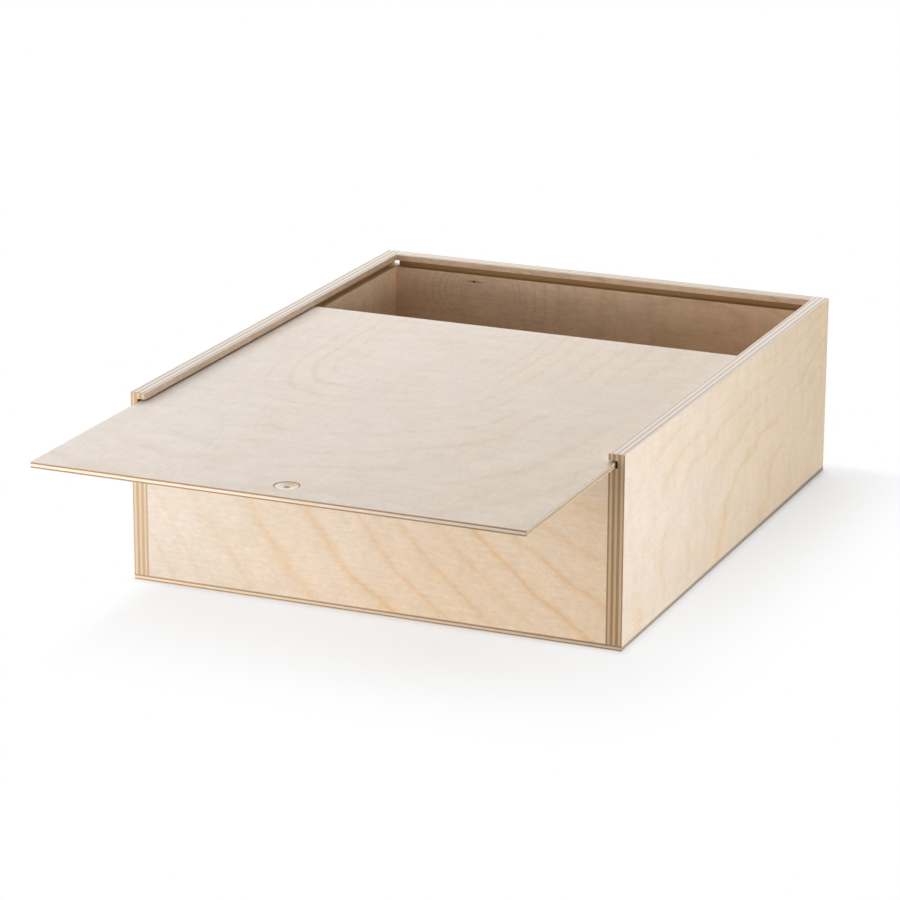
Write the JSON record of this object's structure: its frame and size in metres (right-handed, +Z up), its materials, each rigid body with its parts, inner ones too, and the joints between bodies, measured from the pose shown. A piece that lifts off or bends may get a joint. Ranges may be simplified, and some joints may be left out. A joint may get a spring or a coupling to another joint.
{
  "type": "sliding lid box",
  "caption": "Flat wooden box for papers and keepsakes, with a thin lid that slides out over the low front wall in grooves in the other walls.",
  "frame": {"origin": "centre of the base's underside, so the box stands on the plane Z = 0", "axes": "+X to the right as the box is faced, +Y towards the back wall, +Z up; the lid slides out along -Y and is modelled partly open"},
  "size_m": [0.28, 0.453, 0.105],
  "materials": {
    "wall_plywood": "bare sanded birch plywood, seven plies",
    "thin_plywood": "bare sanded birch plywood, three plies"
  },
  "bodies": {
    "box": {"base_panel": "thin_plywood", "left_wall": "wall_plywood", "right_wall": "wall_plywood", "front_wall": "wall_plywood", "back_wall": "wall_plywood"},
    "lid": {"sliding_lid": "thin_plywood"}
  },
  "joints": [
    {"name": "lid_slide", "type": "slide", "parent": "box", "child": "lid", "axis": [0, -1, 0], "range_m": [-0.118, 0.222]}
  ]
}
